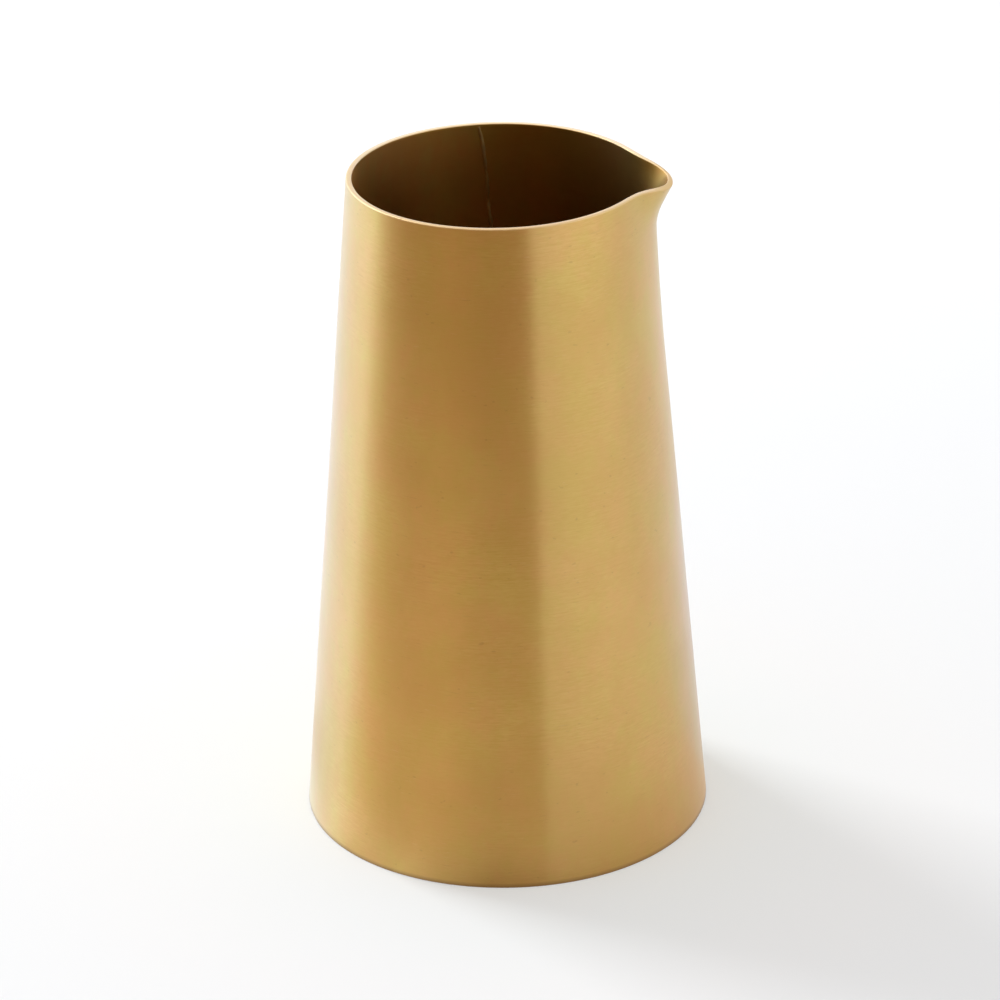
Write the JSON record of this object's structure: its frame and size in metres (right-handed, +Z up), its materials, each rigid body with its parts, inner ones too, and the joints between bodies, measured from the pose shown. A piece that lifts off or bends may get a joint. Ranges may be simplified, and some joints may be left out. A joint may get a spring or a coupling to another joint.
{
  "type": "creamer",
  "caption": "Small tapered pourer of satin brass sheet, round, widest at its foot, with an open mouth and a short pouring lip drawn out of the rim.",
  "frame": {"origin": "centre of the foot, in the plane of the surface that the creamer stands on", "axes": "+Z up, +X from the body's centre line through the tip of the spout, +Y completes a right-handed frame"},
  "size_m": [0.072, 0.072, 0.1192],
  "materials": {
    "wall_brass": "satin, finely brushed round the body, clear and unplated",
    "base_brass": "satin, turned in fine rings",
    "braze": "dull, as flowed and wiped"
  },
  "bodies": {
    "root": {"tapered_wall": "wall_brass", "base_disc": "base_brass", "base_fillet": "braze", "seam_bead": "braze"}
  },
  "joints": []
}
